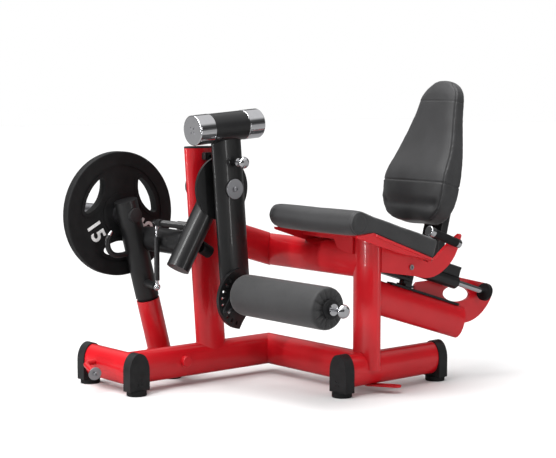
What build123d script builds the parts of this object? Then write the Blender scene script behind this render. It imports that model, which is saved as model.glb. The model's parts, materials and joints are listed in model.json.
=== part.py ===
from build123d import *
from math import atan2, cos, degrees, radians, sin, tan
import os

# Plate-loaded leg extension machine, millimetres.
# Modelling frame: X to the user's left, Y to the rear, Z up, with X = 0 in the plane of the
# side rail and main post, Y = 0 on the front cross tube, Z = 0 on the floor. Every piece is
# moved by TO_FOOTPRINT on export, so that the origin is the middle of the footprint.

TO_FOOTPRINT = Location((-102.5, -588.0, 0.0))

# ---------------------------------------------------------------- driving dimensions
WALL = 4.0
FIT = 0.05                       # radial running clearance of shafts and pins
GAP = 0.4                        # clearance between faces that pass each other

RAIL_W, RAIL_H = 72.0, 112.0     # oval base tube
RAIL_Z = 83.0
OVAL_L, OVAL_S = 120.0, 60.0     # oval column tube: long and short axis
BEAM_H, BEAM_W = 114.0, 60.0     # oval beam tube

FOOT_W, FOOT_D, FOOT_H = 80.0, 40.0, 143.0
FOOT_Z = 16.0                    # underside of the foot caps
PAD_R = 34.0                     # round rubber foot pads
OUTRIGGER_PAD_X = -120.0

FRONT_X = (-253.0, 71.0)         # cap faces of the front cross tube
OUTRIGGER_Y = 268.0
OUTRIGGER_X = -231.0
OUTRIGGER_R, OUTRIGGER_Z = 38.0, 66.0
REAR_Y = 616.0                   # rear cross tube
SEAT_X = 510.0                   # seat base tube, seat column and rear beam
SEAT_TUBE_Y = (490.0, 974.0)     # cap faces of the seat base tube

POST_FOOT_Y, POST_LEAN = 352.0, 3.96
POST_TOP_Z = 818.0
PIVOT_Y, PIVOT_Z = 321.0, 684.0
SHAFT_R = 17.5

DISC_R, DISC_X, DISC_T = 110.0, 99.0, 10.0
HOLE_R, HOLE_CIRCLE, HOLE_STEP = 6.0, 91.0, 20.0

LOAD_TILT = 31.3                 # load arm tube, from vertical
LOAD_X, LOAD_R, LOAD_LEN = 71.0, 40.0, 314.0
SWIVEL_Y, SWIVEL_Z, SWIVEL_R = 214.0, 496.0, 43.0
WEIGHT_X, WEIGHT_R, WEIGHT_TILT = -190.0, 41.0, 14.5
WEIGHT_TOP_Y, WEIGHT_TOP_Z = 125.6, 633.6
WEIGHT_LEN, STUB_GAP = 355.6, 10.0
HORN_Z, HORN_R, HORN_END_X = 584.0, 25.0, -520.0
PLATE_R, PLATE_T, PLATE_X = 219.0, 36.0, -236.0
SPRING_X, SPRING_Y = -50.0, 158.0
SPRING_TOP_Z, SPRING_BALL_Z = 564.0, 341.0

ARM_X, ARM_TILT = 145.0, 4.37
ARM_DOWN, ARM_UP = 334.0, 210.0  # from the pivot to the tube's lower end and to the T bar
TBAR_R, TBAR_HALF, TBAR_CAP = 50.5, 137.0, 66.0
CRANK_DOWN = 375.6               # from the main pivot to the roller crank's pivot
CRANK_DY, CRANK_DZ = -19.0, 18.5  # from the crank's pivot to the roller's axis
SECTOR_R, SECTOR_X, SECTOR_T = 105.0, 172.0, 14.0
ROLLER_R, ROLLER_X, ROLLER_L = 71.5, 215.0, 430.0

BEAM_SLOPE = 17.5                # rear beam, guide rod and backrest travel
PAD_SLOPE, PAD_BOTTOM_SLOPE = 18.0, 20.4
SEAT_X0, SEAT_X1 = 200.0, 635.0
SEAT_MID_X = 420.0               # middle of the back pad and of the side plates
SIDE_PLATE_X = 566.0             # near side plate; the far one mirrors it about the seat
BACK_LEAN = 15.2

pieces = {}


# ---------------------------------------------------------------- helpers
def plane_at(origin, normal, x_dir=(1, 0, 0)):
    return Plane(origin=origin, x_dir=x_dir, z_dir=normal)


def along_x(x, y, z):
    """Plane whose normal is +X, with its own x axis along +Y."""
    return Plane(origin=(x, y, z), x_dir=(0, 1, 0), z_dir=(1, 0, 0))


def tilted_up(angle):
    """Unit vector in the YZ plane that leans forward by angle from +Z."""
    return (0.0, -sin(radians(angle)), cos(radians(angle)))


def oval_bar(plane, across, high, length, wall=0.0):
    with BuildPart(mode=Mode.PRIVATE) as bar:
        with BuildSketch(plane):
            Ellipse(across / 2, high / 2)
            if wall:
                Ellipse(across / 2 - wall, high / 2 - wall, mode=Mode.SUBTRACT)
        extrude(amount=length)
    return bar.part


def round_bar(plane, radius, length, bore=0.0):
    with BuildPart(mode=Mode.PRIVATE) as bar:
        with BuildSketch(plane):
            Circle(radius)
            if bore:
                Circle(bore, mode=Mode.SUBTRACT)
        extrude(amount=length)
    return bar.part


def box_between(low, high):
    with BuildPart(mode=Mode.PRIVATE) as block:
        with Locations(Vector(*low)):
            size = Vector(*high) - Vector(*low)
            Box(size.X, size.Y, size.Z, align=(Align.MIN, Align.MIN, Align.MIN))
    return block.part


def ball(centre, radius):
    with BuildPart(mode=Mode.PRIVATE) as globe:
        with Locations(Vector(*centre)):
            Sphere(radius)
    return globe.part


def keep(name, builder):
    pieces[name] = builder.part


# ---------------------------------------------------------------- base frame
FRONT_TUBE = plane_at((FRONT_X[0] + 8, 0, RAIL_Z), (1, 0, 0), (0, 1, 0))
FRONT_LEN = FRONT_X[1] - FRONT_X[0] - 16
SIDE_TUBE = plane_at((0, 0, RAIL_Z), (0, 1, 0))
REAR_TUBE = plane_at((0, REAR_Y, RAIL_Z), (1, 0, 0), (0, 1, 0))
SEAT_TUBE = plane_at((SEAT_X, SEAT_TUBE_Y[0] + 8, RAIL_Z), (0, 1, 0))
SEAT_LEN = SEAT_TUBE_Y[1] - SEAT_TUBE_Y[0] - 16
OUTRIGGER_TUBE = along_x(OUTRIGGER_X, OUTRIGGER_Y, OUTRIGGER_Z)

front_solid = oval_bar(FRONT_TUBE, RAIL_W, RAIL_H, FRONT_LEN)
side_solid = oval_bar(SIDE_TUBE, RAIL_W, RAIL_H, REAR_Y)
seat_tube_solid = oval_bar(SEAT_TUBE, RAIL_W, RAIL_H, SEAT_LEN)

with BuildPart() as corner_half:
    # everything on the side rail's side of the 45 degree mitre at the rear corner
    with BuildSketch(Plane.XY):
        with BuildLine():
            Polyline((-200, REAR_Y + 200), (200, REAR_Y - 200), (200, -400), (-200, -400), close=True)
        make_face()
    extrude(amount=300)

with BuildPart() as front_cross_tube:
    add(oval_bar(FRONT_TUBE, RAIL_W, RAIL_H, FRONT_LEN, WALL))

with BuildPart() as side_rail:
    add(oval_bar(SIDE_TUBE, RAIL_W, RAIL_H, REAR_Y + RAIL_W, WALL))
    add(front_solid, mode=Mode.SUBTRACT)
    add(box_between((-200, REAR_Y - 40, 0), (200, 900, 300)) - corner_half.part, mode=Mode.SUBTRACT)
    add(round_bar(along_x(20, 214, 88), 19, 31) - side_solid)
    fillet(side_rail.edges().filter_by(GeomType.CIRCLE).sort_by(Axis.X)[-1], radius=3)

with BuildPart() as rear_cross_tube:
    add(oval_bar(plane_at((-RAIL_W, REAR_Y, RAIL_Z), (1, 0, 0), (0, 1, 0)),
                 RAIL_W, RAIL_H, SEAT_X + RAIL_W, WALL))
    add(corner_half.part, mode=Mode.SUBTRACT)
    add(seat_tube_solid, mode=Mode.SUBTRACT)

with BuildPart() as seat_base_tube:
    add(oval_bar(SEAT_TUBE, RAIL_W, RAIL_H, SEAT_LEN, WALL))

outrigger_solid = round_bar(OUTRIGGER_TUBE, OUTRIGGER_R, -OUTRIGGER_X)
with BuildPart() as outrigger_tube:
    add(outrigger_solid)
    add(round_bar(along_x(OUTRIGGER_X + WALL, OUTRIGGER_Y, OUTRIGGER_Z), OUTRIGGER_R - WALL,
                  -OUTRIGGER_X), mode=Mode.SUBTRACT)
    add(side_solid, mode=Mode.SUBTRACT)

keep("front_cross_tube", front_cross_tube)
keep("side_rail", side_rail)
keep("rear_cross_tube", rear_cross_tube)
keep("seat_base_tube", seat_base_tube)
keep("outrigger_tube", outrigger_tube)


# ---------------------------------------------------------------- foot caps and pads
def foot_cap(face, direction):
    """Arched end cap. face is the middle of its outer face at floor level."""
    plane = Plane(origin=face, x_dir=Vector(0, 0, 1).cross(Vector(*direction)), z_dir=direction)
    with BuildPart(mode=Mode.PRIVATE) as cap:
        with BuildSketch(plane):
            with Locations((0, RAIL_Z)):
                Ellipse(FOOT_W / 2, FOOT_H - RAIL_Z)
            with Locations((0, (RAIL_Z + FOOT_Z) / 2)):
                Rectangle(FOOT_W, RAIL_Z - FOOT_Z)
        extrude(amount=-FOOT_D)
        with BuildSketch(plane.offset(-8)):
            with Locations((0, RAIL_Z)):
                Ellipse(RAIL_W / 2, RAIL_H / 2)
        extrude(amount=-FOOT_D, mode=Mode.SUBTRACT)
        with BuildSketch(plane):
            with Locations((0, 46)):
                with PolarLocations(9, 4, start_angle=45):
                    SlotOverall(9, 4.5)
        extrude(amount=-1.2, mode=Mode.SUBTRACT)
    return cap.part


FEET = (
    ((FRONT_X[1], 0, 0), (1, 0, 0)),
    ((FRONT_X[0], 0, 0), (-1, 0, 0)),
    ((SEAT_X, SEAT_TUBE_Y[0], 0), (0, -1, 0)),
    ((SEAT_X, SEAT_TUBE_Y[1], 0), (0, 1, 0)),
)
foot_centres = []
with BuildPart() as foot_caps:
    for foot_face, foot_out in FEET:
        add(foot_cap(foot_face, foot_out))
        foot_centres.append(Vector(*foot_face) - Vector(*foot_out) * (FOOT_D / 2))
    add(side_solid, mode=Mode.SUBTRACT)
keep("foot_caps", foot_caps)

with BuildPart() as foot_pads:
    with Locations(*foot_centres):
        Cylinder(PAD_R, FOOT_Z, align=(Align.CENTER, Align.CENTER, Align.MIN))
    with Locations((OUTRIGGER_PAD_X, OUTRIGGER_Y, 0)):
        Cylinder(PAD_R, OUTRIGGER_Z - 24, align=(Align.CENTER, Align.CENTER, Align.MIN))
    add(outrigger_solid, mode=Mode.SUBTRACT)
    chamfer(foot_pads.faces().group_by(Axis.Z)[0].edges(), length=2.0)
keep("foot_pads", foot_pads)

# ---------------------------------------------------------------- main post and its bearing
post_up = tilted_up(POST_LEAN)
post_plane = plane_at((0, POST_FOOT_Y + tan(radians(POST_LEAN)) * 124.0, 0), post_up)
POST_LEN = 900.0
floor_cut = box_between((-300, -300, -50), (300, 900, RAIL_Z))
above_post = box_between((-300, -300, POST_TOP_Z), (300, 900, 1200))
post_solid = oval_bar(post_plane, OVAL_S, OVAL_L, POST_LEN)
housing_solid = round_bar(along_x(-40, PIVOT_Y, PIVOT_Z), 37, 74)

with BuildPart() as main_post:
    add(oval_bar(post_plane, OVAL_S, OVAL_L, POST_LEN, WALL))
    add(floor_cut, mode=Mode.SUBTRACT)
    add(above_post, mode=Mode.SUBTRACT)
    add(side_solid, mode=Mode.SUBTRACT)
    add(housing_solid)
    add(round_bar(along_x(-40, PIVOT_Y, PIVOT_Z), 31, 74), mode=Mode.SUBTRACT)
keep("main_post", main_post)

with BuildPart() as post_cap:
    add(oval_bar(post_plane, OVAL_S, OVAL_L, POST_LEN))
    add(box_between((-300, -300, -50), (300, 900, POST_TOP_Z)), mode=Mode.SUBTRACT)
    add(box_between((-300, -300, POST_TOP_Z + 6), (300, 900, 1200)), mode=Mode.SUBTRACT)
    chamfer(post_cap.faces().sort_by(Axis.Z)[-1].edges(), length=2.0)
keep("post_cap", post_cap)

with BuildPart() as main_bearings:
    for bearing_x in (-38, 18):
        add(round_bar(along_x(bearing_x, PIVOT_Y, PIVOT_Z), 31, 14, SHAFT_R + FIT))
keep("main_bearings", main_bearings)

with BuildPart() as bearing_cap:
    with BuildSketch(along_x(-40, PIVOT_Y, PIVOT_Z)):
        Circle(42)
    extrude(amount=-11)
    fillet(bearing_cap.faces().sort_by(Axis.X)[0].edges(), radius=4)
    with BuildSketch(along_x(-40, PIVOT_Y, PIVOT_Z)):
        Circle(SHAFT_R + 2)
    extrude(amount=-8, mode=Mode.SUBTRACT)
keep("bearing_cap", bearing_cap)

with BuildPart() as stop_bracket:
    with BuildSketch(along_x(20, 312, 791)):
        RectangleRounded(36, 26, 4)
        with Locations((4, 0)):
            Circle(5, mode=Mode.SUBTRACT)
    extrude(amount=30)
    add(post_solid, mode=Mode.SUBTRACT)
keep("stop_bracket", stop_bracket)

# ---------------------------------------------------------------- fittings on the base
PEG_R = 9.5
PEG_ROOT, PEG_BEND, PEG_TIP = Vector(-148, -20, 91), Vector(-148, -74, 86), Vector(-60, -93, 69)
peg_out = (PEG_TIP - PEG_BEND).normalized()
with BuildPart() as band_peg:
    with BuildLine() as peg_line:
        FilletPolyline(PEG_ROOT, PEG_BEND, PEG_TIP, radius=16)
    with BuildSketch(Plane(origin=peg_line.line @ 0, z_dir=peg_line.line % 0)):
        Circle(PEG_R)
    sweep()
    add(front_solid, mode=Mode.SUBTRACT)
keep("band_peg", band_peg)

with BuildPart() as band_peg_bolt:
    add(round_bar(Plane(origin=PEG_TIP, z_dir=peg_out), 22.5, 4))
    chamfer(band_peg_bolt.edges().filter_by(GeomType.CIRCLE), length=0.8)
    add(round_bar(Plane(origin=PEG_TIP + peg_out * 4, z_dir=peg_out), 8, 7))
    fillet(band_peg_bolt.edges().filter_by(GeomType.CIRCLE).sort_by(Axis.X)[-1], radius=1.5)
    with BuildSketch(Plane(origin=PEG_TIP + peg_out * 11, z_dir=peg_out)):
        RegularPolygon(4, 6)
    extrude(amount=-4, mode=Mode.SUBTRACT)
keep("band_peg_bolt", band_peg_bolt)

ANCHOR_ROOT, ANCHOR_TIP = Vector(508, 640), Vector(584, 690)
anchor_angle = degrees(atan2(ANCHOR_TIP.Y - ANCHOR_ROOT.Y, ANCHOR_TIP.X - ANCHOR_ROOT.X))
anchor_len = (ANCHOR_TIP - ANCHOR_ROOT).length
ANCHOR_HOLE_R, ANCHOR_T = 5.5, 6.0
with BuildPart() as floor_anchor:
    with BuildSketch(Plane.XY.offset(21.2)):
        with Locations(Location(tuple((ANCHOR_ROOT + ANCHOR_TIP) / 2), anchor_angle)):
            SlotOverall(anchor_len + 34, 34)
        with Locations((ANCHOR_TIP.X - 6, ANCHOR_TIP.Y - 4)):
            Circle(ANCHOR_HOLE_R, mode=Mode.SUBTRACT)
    extrude(amount=ANCHOR_T)
    add(seat_tube_solid, mode=Mode.SUBTRACT)
keep("floor_anchor", floor_anchor)

# ---------------------------------------------------------------- upper beams and seat column
COLUMN_Y = 622.0
CROSS_Y, CROSS_Z = 622.0, 445.0
CROSS_W = 56.0
SIDE_BEAM_SLOPE = 17.0
side_beam_dir = (0, cos(radians(SIDE_BEAM_SLOPE)), -sin(radians(SIDE_BEAM_SLOPE)))
SIDE_BEAM_LEN = 330.0
side_beam_root = Vector(0, CROSS_Y, CROSS_Z) - Vector(*side_beam_dir) * SIDE_BEAM_LEN
column_plane = plane_at((SEAT_X, COLUMN_Y, RAIL_Z), (0, 0, 1))
column_solid = oval_bar(column_plane, OVAL_L, OVAL_S, 480)

with BuildPart() as upper_mitre:
    with BuildSketch(Plane.XY.offset(300)):
        with BuildLine():
            Polyline((-150, CROSS_Y + 150), (150, CROSS_Y - 150), (150, 200), (-150, 200), close=True)
        make_face()
    extrude(amount=320)

with BuildPart() as upper_side_beam:
    add(oval_bar(plane_at(side_beam_root, side_beam_dir), CROSS_W, BEAM_H, SIDE_BEAM_LEN + 60, WALL))
    add(post_solid, mode=Mode.SUBTRACT)
    add(box_between((-150, CROSS_Y - 60, 300), (150, CROSS_Y + 150, 620)) - upper_mitre.part,
        mode=Mode.SUBTRACT)
    add(box_between((-150, 0, 300), (150, 372, 900)), mode=Mode.SUBTRACT)
keep("upper_side_beam", upper_side_beam)

cross_beam_solid = oval_bar(plane_at((0, CROSS_Y, CROSS_Z), (1, 0, 0), (0, 1, 0)), CROSS_W, BEAM_H,
                            SEAT_X)
with BuildPart() as upper_cross_beam:
    add(oval_bar(plane_at((-60, CROSS_Y, CROSS_Z), (1, 0, 0), (0, 1, 0)), CROSS_W, BEAM_H,
                 SEAT_X + 60, WALL))
    add(upper_mitre.part, mode=Mode.SUBTRACT)
    add(column_solid, mode=Mode.SUBTRACT)
keep("upper_cross_beam", upper_cross_beam)

# underside of the seat base plate, as a sloped plane through (Y, Z)
PLATE_FRONT_Y, PLATE_FRONT_Z = 540.0, 554.0
SEAT_PLATE_T = 8.0
slope_down = Vector(0, cos(radians(PAD_BOTTOM_SLOPE)), -sin(radians(PAD_BOTTOM_SLOPE)))
slope_up = Vector(0, sin(radians(PAD_BOTTOM_SLOPE)), cos(radians(PAD_BOTTOM_SLOPE)))
plate_front = Vector(SEAT_MID_X, PLATE_FRONT_Y, PLATE_FRONT_Z)
seat_plane = Plane(origin=plate_front, x_dir=(1, 0, 0), z_dir=slope_up)
with BuildPart() as above_seat_plate:
    with BuildSketch(seat_plane.offset(-SEAT_PLATE_T)):
        Rectangle(1200, 1600)
    extrude(amount=400)

with BuildPart() as seat_column:
    add(oval_bar(column_plane, OVAL_L, OVAL_S, 480, WALL))
    add(above_seat_plate.part, mode=Mode.SUBTRACT)
    add(seat_tube_solid, mode=Mode.SUBTRACT)
    add(oval_bar(REAR_TUBE, RAIL_W, RAIL_H, SEAT_X), mode=Mode.SUBTRACT)
keep("seat_column", seat_column)

BEAM_END_Y, BEAM_END_Z = 1069.0, 194.0
beam_dir = Vector(0, cos(radians(BEAM_SLOPE)), -sin(radians(BEAM_SLOPE)))
beam_up = Vector(0, sin(radians(BEAM_SLOPE)), cos(radians(BEAM_SLOPE)))
REAR_BEAM_LEN = 475.0
beam_end = Vector(SEAT_X, BEAM_END_Y, BEAM_END_Z)
beam_plane = plane_at(beam_end - beam_dir * REAR_BEAM_LEN, beam_dir)
beam_solid = oval_bar(beam_plane, BEAM_W, BEAM_H, REAR_BEAM_LEN)
with BuildPart() as rear_beam:
    add(oval_bar(beam_plane, BEAM_W, BEAM_H, REAR_BEAM_LEN, WALL))
    add(column_solid, mode=Mode.SUBTRACT)
    add(box_between((400, 300, 100), (620, COLUMN_Y, 600)), mode=Mode.SUBTRACT)
    add(oval_bar(plane_at(beam_end - beam_dir * 2, beam_dir), BEAM_W, BEAM_H, 4))
keep("rear_beam", rear_beam)

STRIP_W, STRIP_T = 30.0, 8.0
strip_front = beam_end - beam_dir * 368 + beam_up * (BEAM_H / 2 - 2)
with BuildPart() as wear_strip:
    with BuildSketch(Plane(origin=strip_front, x_dir=(1, 0, 0), z_dir=beam_up)):
        with Locations((0, 165)):
            RectangleRounded(STRIP_W, 350, 5)
    extrude(amount=STRIP_T)
    add(beam_solid, mode=Mode.SUBTRACT)
keep("wear_strip", wear_strip)

BRACKET_X = 466.0
with BuildPart() as rear_bracket:
    with BuildSketch(along_x(BRACKET_X, 0, 0)):
        with BuildLine():
            top = Polyline((1030, 215), (885, 245), (885, 338), (896, 348), (1105, 349), (1258, 313))
            ThreePointArc(top @ 1, (1284, 296), (1286, 268))
            ThreePointArc((1286, 268), (1228, 206), (1146, 180))
            Polyline((1146, 180), (1100, 182), (1030, 215))
        make_face()
        with Locations(Location((1095, 289), -8)):
            Ellipse(70, 28, mode=Mode.SUBTRACT)
    extrude(amount=10)

# ---------------------------------------------------------------- guide rod and its bumper
ROD_R, BUMPER_R, BUMPER_T = 11.0, 32.0, 18.0
rod_mid = Vector(SEAT_X, 1049, 340.0)
ROD_BACK = 158.0                 # from rod_mid to the bumper's front face
ROD_FRONT = 430.0
rod_end = rod_mid + beam_dir * ROD_BACK
with BuildPart() as guide_rod:
    add(round_bar(Plane(origin=rod_mid - beam_dir * ROD_FRONT, z_dir=beam_dir), ROD_R,
                  ROD_FRONT + ROD_BACK))
    add(column_solid, mode=Mode.SUBTRACT)
    add(box_between((400, 300, 100), (620, COLUMN_Y, 700)), mode=Mode.SUBTRACT)
keep("guide_rod", guide_rod)

with BuildPart() as rod_bumper:
    add(round_bar(Plane(origin=rod_end, z_dir=beam_dir), BUMPER_R, BUMPER_T))
    chamfer(rod_bumper.edges().filter_by(GeomType.CIRCLE), length=2.5)
keep("rod_bumper", rod_bumper)

with BuildPart() as bracket_with_seat:
    # a tab welded across the bracket carries the rod's rear end behind the bumper
    add(rear_bracket.part)
    with BuildSketch(Plane(origin=rod_end + beam_dir * BUMPER_T, x_dir=(1, 0, 0), z_dir=beam_dir)):
        with Locations((-18, 0)):
            RectangleRounded(40, 40, 3)
        Circle(20)
    extrude(amount=8)
keep("rear_bracket", bracket_with_seat)

SLIDER_R, SLIDER_LEN = 25.0, 258.0
FRONT_STOP_R = 24.0
with BuildPart() as front_stop:
    stop_at = rod_mid - beam_dir * (SLIDER_LEN + GAP)
    add(round_bar(Plane(origin=stop_at, z_dir=-beam_dir), FRONT_STOP_R, 210, ROD_R))
    add(column_solid, mode=Mode.SUBTRACT)
    add(box_between((400, 300, 100), (620, COLUMN_Y, 700)), mode=Mode.SUBTRACT)
keep("front_stop", front_stop)

# ---------------------------------------------------------------- seat
with BuildPart() as seat_base_plate:
    with BuildSketch(seat_plane):
        with Locations((0, 151)):
            RectangleRounded(SEAT_X1 - SEAT_X0 - 14, 306, 22)
    extrude(amount=-SEAT_PLATE_T)

with BuildPart() as seat_cross_gusset:
    with BuildSketch(Plane(origin=(0, 600, 0), x_dir=(1, 0, 0), z_dir=(0, -1, 0))):
        with BuildLine():
            Polyline((212, 516), (378, 513), (398, 484), (432, 474), (472, 470), (472, 560),
                     (212, 560), close=True)
        make_face()
    extrude(amount=10)
    add(above_seat_plate.part, mode=Mode.SUBTRACT)
    add(column_solid, mode=Mode.SUBTRACT)
    add(cross_beam_solid, mode=Mode.SUBTRACT)

SIDE_T = 12.0
far_plate_x = 2 * SEAT_MID_X - SIDE_PLATE_X


def side_plate(x_middle):
    with BuildPart(mode=Mode.PRIVATE) as plate:
        with BuildSketch(along_x(x_middle - SIDE_T / 2, 0, 0)):
            with BuildLine():
                Polyline((630, 560), (630, 414), (800, 386))
                ThreePointArc((800, 386), (857, 377), (908, 388))
                Spline((908, 388), (974, 432), (1014, 506), tangents=[(0.9, 0.42), (0.35, 0.94)])
                ThreePointArc((1014, 506), (1013, 516), (1003, 517))
                Polyline((1003, 517), (958, 493), (866, 428), (840, 470), (630, 560))
            make_face()
        extrude(amount=SIDE_T)
        add(above_seat_plate.part & box_between((0, 0, 0), (900, 848, 900)), mode=Mode.SUBTRACT)
        add(column_solid, mode=Mode.SUBTRACT)
        add(cross_beam_solid, mode=Mode.SUBTRACT)
        add(seat_cross_gusset.part, mode=Mode.SUBTRACT)
    return plate.part


with BuildPart() as seat_side_plates:
    add(side_plate(SIDE_PLATE_X))
    add(side_plate(far_plate_x))
keep("seat_side_plates", seat_side_plates)

with BuildPart() as seat_bolts:
    for plate_x, outward in ((SIDE_PLATE_X, 1), (far_plate_x, -1)):
        bolt_plane = along_x(plate_x + outward * SIDE_T / 2, 768, 420)
        with BuildSketch(bolt_plane):
            Circle(9)
        extrude(amount=outward * 5)
        with BuildSketch(bolt_plane.offset(outward * 5)):
            RegularPolygon(4.5, 6)
        extrude(amount=-outward * 3, mode=Mode.SUBTRACT)
keep("seat_bolts", seat_bolts)

ROLL_R, ROLL_Y, ROLL_Z = 41.0, 476.0, 590.0
with BuildPart() as seat_pad:
    pad_drop = tan(radians(PAD_SLOPE))
    pad_rear_y = 852.0
    tangent_y = ROLL_Y + ROLL_R * sin(radians(PAD_SLOPE))
    tangent_z = ROLL_Z + ROLL_R * cos(radians(PAD_SLOPE))
    roll_under = (ROLL_Y + 6, ROLL_Z - ROLL_R + 0.4)
    with BuildSketch(along_x(SEAT_X0, 0, 0)):
        with BuildLine():
            Line((tangent_y, tangent_z), (pad_rear_y, tangent_z - pad_drop * (pad_rear_y - tangent_y)))
            Line((pad_rear_y, tangent_z - pad_drop * (pad_rear_y - tangent_y)), (828, 447.5))
            Line((828, 447.5), (PLATE_FRONT_Y, PLATE_FRONT_Z + 1.0))
            Line((PLATE_FRONT_Y, PLATE_FRONT_Z + 1.0), roll_under)
            ThreePointArc(roll_under, (ROLL_Y - ROLL_R, ROLL_Z), (tangent_y, tangent_z))
        make_face()
    extrude(amount=SEAT_X1 - SEAT_X0)
    fillet(seat_pad.edges().filter_by(Axis.X).sort_by(Axis.Y)[-2:], radius=10)
keep("seat_pad", seat_pad)

SKIRT_T, SKIRT_INSET = 7.0, 9.0
with BuildPart() as seat_skirts:
    # tapering side skirts that close the gap between the pad's lower edge and the frame
    for skirt_x in (SEAT_X0 + SKIRT_INSET, SEAT_X1 - SKIRT_INSET - SKIRT_T):
        with BuildSketch(along_x(skirt_x, 0, 0)):
            Polygon((462, 556), (470, 541), (492, 534), (580, 505), (690, 473), (818, 444),
                    (818, 456), (540, 557), align=None)
        extrude(amount=SKIRT_T)
    add(seat_pad.part, mode=Mode.SUBTRACT)
    add(seat_base_plate.part, mode=Mode.SUBTRACT)
    add(cross_beam_solid, mode=Mode.SUBTRACT)
with BuildPart() as seat_cradle:
    add(seat_base_plate.part)
    add(seat_cross_gusset.part)
    add(seat_skirts.part)
keep("seat_base_plate", seat_cradle)

# ---------------------------------------------------------------- hand grips
GRIP_R, GRIP_LEN, GRIP_CAP_R, GRIP_CAP_LEN = 15.5, 122.0, 18.0, 22.0
grip_rear = Vector(0, 966, 492)
grip_up = slope_down * -1
GRIP_OUT = 26.0
with BuildPart() as grip_bars:
    for grip_x, outward in ((SIDE_PLATE_X, 1), (far_plate_x, -1)):
        axis_x = grip_x + outward * GRIP_OUT
        rear = Vector(axis_x, grip_rear.Y, grip_rear.Z)
        add(round_bar(Plane(origin=rear, z_dir=grip_up), 9, GRIP_LEN + 12))
        add(round_bar(Plane(origin=rear + slope_down * 16, z_dir=grip_up), GRIP_R, 16))
        stub = rear + slope_down * 8
        add(round_bar(along_x(grip_x + outward * SIDE_T / 2, stub.Y, stub.Z), 7, outward * GRIP_OUT / 2))
        front = rear + grip_up * GRIP_LEN
        add(round_bar(Plane(origin=front, z_dir=grip_up), GRIP_CAP_R, GRIP_CAP_LEN))
    fillet(grip_bars.edges().filter_by(GeomType.CIRCLE).sort_by(Axis.Y)[:2], radius=3)
keep("grip_bars", grip_bars)

with BuildPart() as grip_sleeves:
    for grip_x, outward in ((SIDE_PLATE_X, 1), (far_plate_x, -1)):
        rear = Vector(grip_x + outward * GRIP_OUT, grip_rear.Y, grip_rear.Z)
        add(round_bar(Plane(origin=rear, z_dir=grip_up), GRIP_R, GRIP_LEN, 9))
keep("grip_sleeves", grip_sleeves)

# ---------------------------------------------------------------- main shaft, disc and load arm
ARM_OUT_X = ARM_X + OVAL_S / 2
with BuildPart() as main_shaft:
    add(round_bar(along_x(-46, PIVOT_Y, PIVOT_Z), SHAFT_R, ARM_OUT_X + 0.5 + 46))
keep("main_shaft", main_shaft)

HUB_R = 42.0
with BuildPart() as cam_disc:
    with BuildSketch(along_x(DISC_X, PIVOT_Y, PIVOT_Z)):
        Circle(DISC_R)
        with BuildLine():
            Polyline((96, -53), (160, -53), (160, -160), (15, -160), (15, -109), close=True)
        make_face(mode=Mode.SUBTRACT)
        with PolarLocations(HOLE_CIRCLE, 8, start_angle=90 - 6 * HOLE_STEP, angular_range=8 * HOLE_STEP):
            Circle(HOLE_R, mode=Mode.SUBTRACT)
    extrude(amount=DISC_T)
    add(round_bar(along_x(35, PIVOT_Y, PIVOT_Z), HUB_R, DISC_X - 35))
    add(round_bar(along_x(30, PIVOT_Y, PIVOT_Z), SHAFT_R, 100), mode=Mode.SUBTRACT)
keep("cam_disc", cam_disc)

load_dir = Vector(0, -sin(radians(LOAD_TILT)), -cos(radians(LOAD_TILT)))
load_back = Vector(0, cos(radians(LOAD_TILT)), -sin(radians(LOAD_TILT)))
load_axis = Vector(LOAD_X, PIVOT_Y, PIVOT_Z)
hub_solid = round_bar(along_x(30, PIVOT_Y, PIVOT_Z), HUB_R, 90)
disc_solid = round_bar(along_x(DISC_X, PIVOT_Y, PIVOT_Z), DISC_R, DISC_T + 20)
load_solid = round_bar(Plane(origin=load_axis, z_dir=load_dir), LOAD_R, LOAD_LEN)
COLLAR_FACE, SWIVEL_SHAFT_R = -12.0, 20.0
SWIVEL_END_X = -136.0
with BuildPart() as load_arm:
    add(round_bar(Plane(origin=load_axis + load_dir * 20, z_dir=load_dir), LOAD_R, LOAD_LEN - 20))
    add(round_bar(along_x(COLLAR_FACE, SWIVEL_Y, SWIVEL_Z), SWIVEL_R, LOAD_X - COLLAR_FACE))
    add(round_bar(along_x(SWIVEL_END_X, SWIVEL_Y, SWIVEL_Z), SWIVEL_SHAFT_R, LOAD_X - SWIVEL_END_X))
    add(round_bar(Plane(origin=load_axis, z_dir=load_dir), LOAD_R - WALL, LOAD_LEN - 4),
        mode=Mode.SUBTRACT)
    add(hub_solid, mode=Mode.SUBTRACT)
    add(disc_solid, mode=Mode.SUBTRACT)
keep("load_arm", load_arm)

with BuildPart() as load_bumper:
    bumper_root = load_axis + load_dir * 204.5
    add(round_bar(Plane(origin=bumper_root, z_dir=load_back), 22, 93))
    fillet(load_bumper.edges().filter_by(GeomType.CIRCLE).sort_by(Axis.Y)[-1], radius=3)
    add(load_solid, mode=Mode.SUBTRACT)
    add(round_bar(along_x(-12, SWIVEL_Y, SWIVEL_Z), SWIVEL_R, 120), mode=Mode.SUBTRACT)
keep("load_bumper", load_bumper)

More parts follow.
